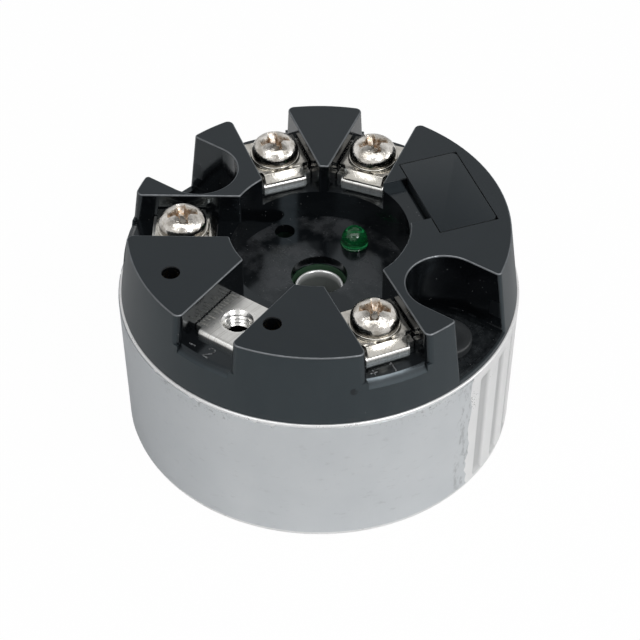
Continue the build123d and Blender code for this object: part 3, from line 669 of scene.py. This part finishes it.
def grip_marks(terminal):
    """Rows of short punched grooves near both long edges."""
    made = bmesh.new()
    for sideways in (-1, 1):
        for mark in range(grip_count):
            along = -2.9 + grip_pitch * mark
            inner = 1.95 + 0.25 * ((mark * 7) % 3)
            section = [(inner, 0.0, 0.04), (inner + 0.12, -0.13, 0.04), (3.3, -0.15, 0.06)]
            section += [(3.3, 0.1, 0.13), (inner, 0.1, 0.1)]
            corners = []
            for away, height, half in section:
                for shift in (-half, half):
                    spot = placed(terminal, along + shift, sideways * away, plate_top + height)
                    corners.append(made.verts.new(spot * MM))
            bmesh.ops.convex_hull(made, input=corners)
    return finished("grip_marks", made)


for number, terminal in enumerate(terminals, start=1):
    origin, toward, across = terminal_axes(terminal)
    axes = (origin, toward, UP, across)
    plate = drawn_out("nickel_plate_%d" % number, plate_outline(), axes, -plate_half, plate_half, 20)
    centre = (origin.x, origin.y)
    collar_outline = [(0, collar_low), (collar_radius - 0.1, collar_low), (collar_radius, collar_low + 0.1)]
    joined = [turned("collar", collar_outline + [(collar_radius, 22.4), (0, 22.4)], 48, centre)]
    for middle in (-tail_shift, tail_shift):
        joined.append(drawn_out("tail", tail_outline, axes, middle - tail_half, middle + tail_half))
    carved(plate, joined, "UNION", 20)
    tools = [turned("tap", tap_outline(), 48, centre), grip_marks(terminal)]
    for sideways in (-1, 1):
        corner = [(along, sideways * away) for along, away in corner_notch]
        tools.append(drawn_out("corner", corner, (origin, toward, across, UP), 21.5, 24))
    carved(plate, tools, "DIFFERENCE", 20)
    nickel = Finish("nickel_plate_finish_%d" % number, Metallic=1.0)
    along = (nickel.x - origin.x) * toward.x + (nickel.y - origin.y) * toward.y
    aside = (nickel.x - origin.x) * across.x + (nickel.y - origin.y) * across.y
    tint = nickel.noise(0.8, 3.0, seed=2.0 + number)
    streak = nickel.noise(2.2, 3.0, 0.6, seed=number)
    lines = {"W": aside + along * 0.12, "Scale": 5.0, "Detail": 3.0}
    scored = nickel.node("ShaderNodeTexNoise", {"noise_dimensions": "1D"}, lines)
    # A ring round the tapped hole is painted lighter and smoother: wear, and a painted highlight.
    ring = nickel.radius(centre).within(1.2, 1.85, 0.1)
    stamped = nickel.blend(tint, (0.74, 0.735, 0.71, 1), (0.90, 0.895, 0.87, 1))
    stamped = nickel.blend(scored.step(0.56, 0.62) * 0.35, stamped, (0.36, 0.34, 0.30, 1))
    stamped = nickel.blend(ring * 0.5, stamped, (0.88, 0.87, 0.85, 1))
    nickel.give(
        Base_Color=stamped,
        Roughness=0.26 + 0.18 * (streak - 0.5) + 0.10 * scored - 0.08 * ring,
        Normal=nickel.bump(scored, 0.02, 0.6),
    )
    fitted(plate, nickel, "housing", "nickel", "terminal_plate_%d" % number)

# Wire clamps
# Four clamps, pressed from nickel-plated steel, hold the wires down. Each has a hole for its screw, a
# nose that slopes down to the plate, a crease where the nose starts, and two cuts beside the washer.
clamp_low, clamp_high, clamp_half = 23.35, 24.2, 3.1
clamp_back, nose_reach, nose_low = -3.0, 3.64, 23.15
clamp_hole = 1.65
slit_shift = 0.65
slit_outline = [(2.3, -0.1), (2.86, -0.12), (2.86, 0.12), (2.3, 0.1)]
shoulder_outline = [(2.66, 2.3), (4.3, 2.22), (4.3, 3.4), (2.3, 3.4), (2.3, 2.85), (2.4, 2.5)]


def clamp_outline():
    """Side view of a clamp, nose to the right."""
    back = [(clamp_back, clamp_low), (clamp_back, clamp_high - 0.12), (clamp_back + 0.12, clamp_high)]
    crease = [(2.55, clamp_high), (2.66, clamp_high - 0.09), (2.8, clamp_high - 0.09), (2.88, clamp_high)]
    nose = [(2.94, clamp_high), (3.0, clamp_high - 0.04), (3.58, nose_low + 0.27)]
    nose += [(nose_reach, nose_low + 0.17), (nose_reach, nose_low + 0.05), (nose_reach - 0.04, nose_low)]
    return back + crease + nose + [(3.12, nose_low), (3.06, nose_low + 0.06), (3.06, clamp_low)]


pressed = Finish("pressed_nickel", Metallic=1.0)
tint = pressed.noise(0.7, 3.0, seed=21.0)
fine = pressed.noise(3.5, 4.0, 0.6, seed=1.0)
dull = pressed.noise(1.5, 3.0, seed=12.0).step(0.55, 0.7)
sheet = pressed.blend(tint, (0.52, 0.495, 0.445, 1), (0.72, 0.70, 0.655, 1))
sheet = pressed.blend(dull * 0.6, sheet, (0.30, 0.275, 0.235, 1))
pressed.give(
    Base_Color=sheet,
    Roughness=0.16 + 0.16 * (fine - 0.5) + 0.14 * dull,
    Normal=pressed.bump(fine + tint, 0.02, 0.6),
)
for number, terminal in enumerate(terminals[:4], start=1):
    origin, toward, across = terminal_axes(terminal)
    lengthways = (origin, toward, UP, across)
    level = (origin, toward, across, UP)
    clamp = drawn_out("wire_clamp_%d" % number, clamp_outline(), lengthways, -clamp_half, clamp_half, 25)
    hole = [(0, 23), (clamp_hole, 23), (clamp_hole, 25), (0, 25)]
    tools = [turned("screw_hole", hole, 48, (origin.x, origin.y))]
    for shift in (-slit_shift, slit_shift):
        cut = [(along, shift + away) for along, away in slit_outline]
        tools.append(drawn_out("cut", cut, level, clamp_high - 0.35, clamp_high + 0.2))
    for sideways in (-1, 1):
        shoulder = [(along, sideways * away) for along, away in shoulder_outline]
        tools.append(drawn_out("shoulder", shoulder, level, 22.8, clamp_high + 0.4))
    carved(clamp, tools, "DIFFERENCE", 25)
    softened(clamp, 0.05, 2, 40)
    fitted(clamp, pressed, "clamp_%d" % number, "nickel", "clamp_plate_%d" % number)

# Lock washers
# A split spring washer of nickel-plated steel lies under each screw head. It is wound from square wire,
# so its corners are rounded and its two ends stand a little apart.
washer_low, washer_high = clamp_high, 24.55
washer_inner, washer_outer, wire_round = 1.65, 2.78, 0.1
washer_gap, gap_bearing = 9.0, 90.0
coil_steps = 96
section = []
for across, height, start in (
    (washer_outer - wire_round, washer_low + wire_round, -90),
    (washer_outer - wire_round, washer_high - wire_round, 0),
    (washer_inner + wire_round, washer_high - wire_round, 90),
    (washer_inner + wire_round, washer_low + wire_round, 180),
):
    section += arc((across, height), wire_round, start, start + 90, 3)
for number, terminal in enumerate(terminals[:4], start=1):
    coil = bmesh.new()
    rows = []
    for step in range(coil_steps + 1):
        turn = radians(gap_bearing + washer_gap / 2 + (360 - washer_gap) * step / coil_steps)
        row = []
        for reach, height in section:
            row.append(coil.verts.new(placed(terminal, reach * cos(turn), reach * sin(turn), height) * MM))
        rows.append(row)
    for before, after in zip(rows, rows[1:]):
        for corner in range(len(section)):
            following = (corner + 1) % len(section)
            coil.faces.new([before[corner], before[following], after[following], after[corner]])
    coil.faces.new(rows[0])
    coil.faces.new(rows[-1])
    washer = finished("spring_washer_%d" % number, coil, 50)
    fitted(washer, pressed, "clamp_%d" % number, "nickel", "lock_washer_%d" % number)

# Terminal screws
# Four M3 pan-head screws with a cross recess, made of nickel-plated steel. The thread is rolled on the
# shank, and the plating is brown and thin down in the recess.
head_low, head_high = washer_high, 26.61
head_radius, head_waist = 2.62, 24.95
dome_height = head_high - head_waist
shank_radius, shank_low = 1.25, 19.15
thread_low, thread_high, thread_depth = 19.5, 24.3, 0.22
recess_angles = [45.0, -39.0, -39.0, -58.0]
recess_sections = [(1.9, 26.9, 0.6), (1.55, 25.95, 0.38), (0.5, 25.1, 0.2)]
heart_outline = [(0, 25.1), (0.45, 25.2), (0.85, 26.0), (1.05, 26.9), (0, 26.9)]


def rolled(radius, height, turn):
    """Thread rolled on the shank."""
    if radius > shank_radius + 0.05 or radius < 0.8 or height > thread_high or height < thread_low:
        return 0.0
    phase = (height / thread_pitch - turn / (2 * pi)) % 1.0
    return -thread_depth * (1 - abs(2 * phase - 1))


screw_outline = [(0.0, shank_low), (0.85, shank_low), (1.15, shank_low + 0.3)]
screw_outline += [(shank_radius, thread_low + thread_pitch / 8 * step) for step in range(78)]
screw_outline += [(1.2, 24.4), (shank_radius, head_low), (2.35, head_low)]
screw_outline += arc((2.45, head_low + 0.1), 0.15, -90, 0, 4)
for across, up in arc((0, 0), 1.0, 4, 90, 20)[:-1]:
    screw_outline.append((head_radius * across, head_waist + dome_height * up))
screw_outline.append((0.0, head_high))
for number, (terminal, angle) in enumerate(zip(terminals[:4], recess_angles), start=1):
    origin, toward, across = terminal_axes(terminal)
    centre = (origin.x, origin.y)
    screw = turned("pan_screw_%d" % number, screw_outline, 72, centre, rolled, crease=40)
    arms = []
    for line, flat in (bearings(angle), bearings(angle + 90)):
        arm = bmesh.new()
        for away, height, half in recess_sections:
            for lengthwise in (-away, away):
                for sideways in (-half, half):
                    arm.verts.new((origin + line * lengthwise + flat * sideways + UP * height) * MM)
        bmesh.ops.convex_hull(arm, input=arm.verts)
        arms.append(finished("arm", arm))
    heart = turned("heart", heart_outline, 32, centre)
    carved(screw, arms + [heart], "DIFFERENCE", 40)
    softened(screw, 0.035, 2, 60)
    plated = Finish("screw_finish_%d" % number, Metallic=1.0)
    reach = plated.radius(centre)
    share = reach * (1 / head_radius)
    dome = (1 - share * share).most(0.0) ** 0.5 * dome_height + head_waist
    down = (dome - plated.z).step(0.1, 0.45) * reach.step(2.0, 1.8) * plated.z.step(25.2, 25.3)
    tint = plated.noise(0.8, 4.0, 0.6, seed=3.0 * number)
    fine = plated.noise(4.0, 4.0, 0.6, seed=5.0 * number)
    brown = plated.noise(2.2, 3.0, 0.6, seed=7.0 * number).step(0.42, 0.62)
    rub = plated.noise(3.0, 5.0, 0.7, seed=9.0 * number).step(0.6, 0.72)
    shell = plated.blend(tint.step(0.38, 0.62), (0.46, 0.43, 0.385, 1), (0.84, 0.81, 0.765, 1))
    shell = plated.blend(rub * 0.6, shell, (0.26, 0.22, 0.17, 1))
    # The lower side of the head, above the washer, is painted darker: painted shade.
    painted_flank_shade = plated.z.step(25.5, 24.9) * plated.z.step(24.5, 24.55)
    shell = plated.blend(painted_flank_shade * 0.75, shell, (0.20, 0.18, 0.15, 1))
    shell = plated.blend(down * (0.35 + 0.6 * brown), shell, (0.26, 0.16, 0.085, 1))
    plated.give(
        Base_Color=shell,
        Roughness=0.13 + 0.12 * (fine - 0.5) + 0.16 * down + 0.12 * rub,
        Normal=plated.bump(fine + 4.0 * tint, 0.03, 0.8),
    )
    fitted(screw, plated, "screw_%d" % number, "screw_nickel", "terminal_screw_%d" % number)

# Status light
# A light-emitting diode on the board shows through a domed lens of clear green plastic, pushed up
# through the floor of the well and held by its flange.
light = (0.15, 6.6)
lens_radius, lens_top = 1.43, 20.78
lens_outline = [(0, 18.1), (1.15, 18.1), (1.2, 18.15), (1.2, 18.6), (1.5, 18.6), (1.54, 18.64)]
lens_outline += [(1.54, 18.72), (1.5, 18.76), (1.44, 18.78), (lens_radius, 19.3)]
lens_outline += arc((0, lens_top - lens_radius), lens_radius, 4, 90, 16)[:-1] + [(0, lens_top)]
lens = turned("green_lens", lens_outline, 64, light, crease=50)
clear = Finish("green_plastic", IOR=1.49, Transmission_Weight=0.82, Roughness=0.02)
haze = clear.noise(1.2, 2.0)
clear.give(
    Base_Color=clear.blend(haze, (0.012, 0.22, 0.065, 1), (0.03, 0.34, 0.12, 1)),
    Normal=clear.bump(haze, 0.01, 0.4),
)
fitted(lens, clear, "housing", "lens_green", "led_lens")
glow = Finish("led_chip_white", Base_Color=(0.7, 0.75, 0.62, 1), Roughness=0.35, Emission_Strength=0.6)
lit = glow.radius(light).step(0.7, 0.1)
glow.give(Emission_Color=glow.blend(lit, (0.0, 0.02, 0.0, 1), (0.25, 1.0, 0.3, 1)))
glow.onto("led_chip")

# Light tube
# A thin tube of drawn, nickel-plated brass runs through both boards, so that the sensor wires pass up
# the middle. Its mouth shows a little below the floor of the well.
sleeve_inside, sleeve_outside, sleeve_rim = 2.35, 2.7, 17.0
sleeve_outline = [(sleeve_inside + 0.03, 0.0), (2.62, 0.0), (sleeve_outside, 0.08), (sleeve_outside, 16.9)]
sleeve_outline += [(2.66, 16.98), (2.6, sleeve_rim), (2.5, sleeve_rim), (2.4, 16.9), (sleeve_inside, 16.7)]
sleeve_outline += [(sleeve_inside, 0.08)]
tube = turned("light_tube", sleeve_outline, 96, closed=True, crease=60)
drawn = Finish("drawn_tube", Metallic=0.5)
lines = drawn.noise(3.0, 3.0, 0.6, stretch=(1, 1, 0.08))
smudge = drawn.noise(0.6, 3.0, seed=4.0)
tube_colour = drawn.blend(smudge, (0.70, 0.71, 0.70, 1), (0.88, 0.885, 0.88, 1))
# Below its mouth the tube is painted dark: painted shade down in the hole.
tube_colour = drawn.blend(drawn.z.step(16.7, 16.1), tube_colour, (0.26, 0.28, 0.27, 1))
drawn.give(
    # A band at the rim is painted near white: a painted highlight on the rim.
    Base_Color=drawn.blend(drawn.z.step(16.75, 16.95) * 0.8, tube_colour, (0.95, 0.96, 0.96, 1)),
    Roughness=0.22 + 0.2 * (lines - 0.5) + 0.1 * (smudge - 0.5),
    Normal=drawn.bump(lines, 0.01, 0.5),
)
fitted(tube, drawn, "housing", "sleeve_metal", "centre_sleeve")

# Caps of the mounting holes
# A flat button, moulded in dark grey plastic, is pressed by its plug into each mounting hole to keep
# dirt out.
plug_radius, button_radius, button_round, button_low, button_top = 2.18, 2.85, 0.25, 17.6, 18.5
button_outline = [(0, 16.4), (1.9, 16.4), (plug_radius, 16.7), (plug_radius, button_low)]
button_outline += [(button_radius, button_low)]
button_outline += arc((button_radius - button_round, button_top - button_round), button_round, 0, 90, 4)
button_outline += [(1.9, button_top), (1.8, button_top - 0.04), (0, button_top - 0.04)]
button_finish = Finish("cap_grey", IOR=1.5)
for number, place in enumerate(mount_places, start=1):
    button = turned("hole_button_%d" % number, button_outline, 64, place, crease=50)
    fitted(button, button_finish, "housing", "cap_grey", "hole_cap_%d" % number)
soft = button_finish.noise(6.0, 3.0)
wipe = button_finish.noise(0.5, 3.0, seed=3.0)
button_finish.give(
    Base_Color=button_finish.blend(wipe, (0.020, 0.022, 0.024, 1), (0.036, 0.039, 0.041, 1)),
    Roughness=0.42 + 0.16 * (wipe - 0.5),
    Normal=button_finish.bump(soft, 0.015, 0.7),
)

# Circuit boards
# Two round boards of glass-fibre laminate under green lacquer fill the cup. Their cut edges show the
# bare laminate, and the upper one can be seen round the light tube.
lacquer = Finish("board_lacquer", IOR=1.5)
weave = (lacquer.x * 9.0).wave() * (lacquer.y * 9.0).wave()
tracks = lacquer.noise(0.55, 1.0, 0.4, seed=2.0)
copper = (tracks * 22.0).wave().step(0.72, 0.84)
edge_high = lacquer.z.within(15.9, 17.4, 0.03)
edge_low = lacquer.z.within(6.25, 7.75, 0.03)
edge = edge_high.most(edge_low)
mask = lacquer.blend(copper, (0.004, 0.030, 0.014, 1), (0.008, 0.055, 0.024, 1))
mask = lacquer.blend(edge, mask, (0.035, 0.085, 0.045, 1))
# Away from the light tube the upper board is painted near black: painted shade under the block.
mask = lacquer.blend(lacquer.radius().step(3.7, 4.1) * edge_high, mask, (0.001, 0.006, 0.003, 1))
lacquer.give(
    Base_Color=mask,
    Roughness=0.24 + 0.3 * edge + 0.06 * copper,
    Normal=lacquer.bump(copper + 0.15 * weave, 0.03, 0.7),
)
lacquer.onto("terminal_board", "main_board")

# Plug strips
# The boards are joined by a pin strip, and a socket for the programming lead stands under the cover.
# Both are black nylon blocks with tinned pins pressed through them.
nylon = Finish("connector_nylon", IOR=1.53)
pins = nylon.z.step(10.35, 10.4) * nylon.z.step(15.9, 15.85)
pins = pins.most(nylon.z.step(7.75, 7.7))
soft = nylon.noise(4.0, 3.0)
nylon.give(
    Base_Color=nylon.blend(pins, (0.012, 0.012, 0.013, 1), (0.72, 0.70, 0.62, 1)),
    Metallic=pins,
    Roughness=0.38 + 0.15 * (soft - 0.5) - 0.12 * pins,
    Normal=nylon.bump(soft, 0.02, 0.6),
)
nylon.onto("board_connector")
socket = Finish("socket_nylon", IOR=1.53)
out_reach = socket.x * cover_out.x + socket.y * cover_out.y
aside = socket.x * cover_side.x + socket.y * cover_side.y
inside = (out_reach - 15.1).within(-0.5, 0.5, 0.02) * abs(aside - cover_middle).step(2.6, 2.5)
contact = inside * socket.z.step(18.5, 18.6)
soft = socket.noise(4.0, 3.0, seed=2.0)
socket.give(
    Base_Color=socket.blend(contact, (0.013, 0.013, 0.014, 1), (0.80, 0.62, 0.28, 1)),
    Metallic=contact,
    Roughness=0.40 + 0.15 * (soft - 0.5) - 0.15 * contact,
    Normal=socket.bump(soft, 0.02, 0.6),
)
socket.onto("interface_connector")

# Parts on the lower board
# The transformer is a grey ferrite frame with a lacquered copper winding, the capacitors are aluminium
# cans, and the chips are black epoxy with tinned leads. All are soldered to the board.
ferrite = Finish("ferrite_and_winding")
wound = abs(ferrite.x + 9.6).step(2.35, 2.25)
turns_of_wire = (ferrite.x * 26.0).wave()
sinter = ferrite.noise(6.0, 4.0, 0.7)
ferrite.give(
    Base_Color=ferrite.blend(wound, (0.05, 0.05, 0.053, 1), (0.42, 0.16, 0.05, 1)),
    Roughness=0.55 + 0.2 * (sinter - 0.5) - 0.25 * wound,
    Normal=ferrite.bump(wound * turns_of_wire + (1 - wound) * sinter, 0.05, 0.8),
)
ferrite.onto("isolation_transformer")
can = Finish("capacitor_can", Metallic=0.9)
sleeve = can.z.within(8.3, 13.6, 0.05)
spun = can.noise(2.0, 3.0, stretch=(1, 1, 6.0))
can.give(
    Base_Color=can.blend(sleeve, (0.72, 0.73, 0.74, 1), (0.58, 0.59, 0.60, 1)),
    Roughness=0.24 + 0.2 * (spun - 0.5) + 0.08 * sleeve,
    Normal=can.bump(spun, 0.02, 0.5),
)
can.onto("storage_capacitor_1", "storage_capacitor_2")
epoxy = Finish("chip_epoxy", IOR=1.55)
body_across = abs(epoxy.x + 3.6).step(3.52, 3.48) * abs(epoxy.y - 10.8).step(3.52, 3.48)
body_along = abs(epoxy.x - 7.4).step(2.02, 1.98) * abs(epoxy.y - 9.6).step(3.02, 2.98)
leads = 1 - body_across.most(body_along)
pitted = epoxy.noise(8.0, 4.0, 0.7)
epoxy.give(
    Base_Color=epoxy.blend(leads, (0.014, 0.014, 0.015, 1), (0.70, 0.70, 0.68, 1)),
    Metallic=leads,
    Roughness=0.50 + 0.2 * (pitted - 0.5) - 0.22 * leads,
    Normal=epoxy.bump(pitted, 0.03, 0.6),
)
epoxy.onto("processor_chip", "converter_chip")

# Test sockets
# A turned brass socket stands on the upper board under each of the two round holes beside the output
# terminals, so that a meter's probe can be pushed in.
brass = Finish("turned_brass", Metallic=1.0)
cut_lines = brass.noise(1.5, 3.0, stretch=(0.5, 0.5, 8.0))
dulled = brass.noise(1.1, 3.0, seed=6.0)
brass.give(
    Base_Color=brass.blend(dulled, (0.62, 0.43, 0.16, 1), (0.80, 0.60, 0.28, 1)),
    Roughness=0.28 + 0.2 * (cut_lines - 0.5) + 0.1 * dulled,
    Normal=brass.bump(cut_lines, 0.02, 0.6),
)
brass.onto("test_contact_1", "test_contact_2")

# Potting
# The lowest part of the cup is filled with a grey casting compound, poured in round the tubes and set
# with a smooth, slightly wavy face.
compound = Finish("casting_compound", IOR=1.5)
flowed = compound.noise(0.3, 2.0)
filler = compound.noise(5.0, 3.0)
compound.give(
    Base_Color=compound.blend(flowed, (0.16, 0.165, 0.17, 1), (0.22, 0.225, 0.23, 1)),
    Roughness=0.36 + 0.14 * (filler - 0.5) + 0.1 * (flowed - 0.5),
    Normal=compound.bump(flowed + 0.2 * filler, 0.06, 0.6),
)
compound.onto("potting")

# Studio
# The photograph was taken with a long lens from above the two output terminals, on white paper, with
# lamps at the right and in front, a wide one overhead and white walls all round.
bpy.context.scene.view_settings.view_transform = "Standard"
film_width, picture_width, focal_length = 36.0, 640, 2242
view = bpy.data.cameras.new("long_lens")
view.sensor_width = film_width
view.lens = film_width * focal_length / picture_width
view.shift_x = 0.8 / picture_width
view.shift_y = -7.8 / picture_width
view.clip_start = 0.01
view.clip_end = 20.0
camera = bpy.data.objects.new("long_lens", view)
camera.location = Vector((105.1, -149.0, 183.9)) * MM
camera.rotation_euler = (UP * 13 * MM - camera.location).to_track_quat("-Z", "Y").to_euler()
bpy.context.scene.collection.objects.link(camera)
bpy.context.scene.camera = camera

lamp_distance, lamp_aim = 420, 15


def lamp(name, azimuth, height, size, radiance):
    """A soft lamp with an even rectangular face, turned to the transmitter from a direction in degrees."""
    face = bpy.data.lights.new(name, "AREA")
    face.shape = "RECTANGLE"
    face.size, face.size_y = size[0] * MM, size[1] * MM
    face.energy = radiance * pi * face.size * face.size_y
    stand = bearings(azimuth)[0] * cos(radians(height)) + UP * sin(radians(height))
    piece = bpy.data.objects.new(name, face)
    piece.location = (stand * lamp_distance + UP * lamp_aim) * MM
    piece.rotation_euler = (-stand).to_track_quat("-Z", "Y").to_euler()
    bpy.context.scene.collection.objects.link(piece)


lamp("right_lamp", -14, 43, (130, 100), 10.0)
lamp("side_lamp", 28, 24, (200, 120), 3.0)
lamp("front_lamp", -92, 44, (150, 90), 2.4)
lamp("ceiling_lamp", -55, 74, (620, 190), 2.2)

walls = bpy.data.worlds.new("white_walls")
walls.use_nodes = True
bpy.context.scene.world = walls
walls.node_tree.nodes.remove(walls.node_tree.nodes["Background"])
room = NodeTree(walls.node_tree)
direction = room.node("ShaderNodeTexCoord", {}, {}, "Generated")
upward = room.node("ShaderNodeSeparateXYZ", {}, {0: direction}, "Z")
levels = [(0.0, 0.80), (0.25, 0.80), (0.66, 0.76), (1.0, 0.12)]
stops = [(position, (level, level, level, 1)) for position, level in levels]
shade = room.node("ShaderNodeValToRGB", {"stops": stops}, {0: upward})
light_room = room.node("ShaderNodeBackground", {}, {0: shade, 1: 0.45})
seen_room = room.node("ShaderNodeBackground", {}, {0: shade, 1: 1.0})
seen = room.seen("Camera", "Glossy", "Transmission")
both = room.node("ShaderNodeMixShader", {}, {0: seen, 1: light_room, 2: seen_room})
room.tree.links.new(both.socket, room.tree.nodes["World Output"].inputs[0])

paper_mesh = bmesh.new()
bmesh.ops.create_grid(paper_mesh, x_segments=1, y_segments=1, size=6.0)
paper = finished("paper_floor", paper_mesh)
white = Finish("white_paper", Base_Color=(0.88, 0.88, 0.88, 1), Roughness=0.9)
shine = white.node("ShaderNodeEmission", {}, {"Color": (1, 1, 1, 1), "Strength": 1.0})
shining = (white.seen("Camera", "Transmission") * 0.98).most(white.seen("Glossy") * 0.1)
plain = Tone(white, white.shader.outputs[0])
page = white.node("ShaderNodeMixShader", {}, {0: shining, 1: plain, 2: shine})
white.tree.links.new(page.socket, white.tree.nodes["Material Output"].inputs[0])
white.onto(paper)
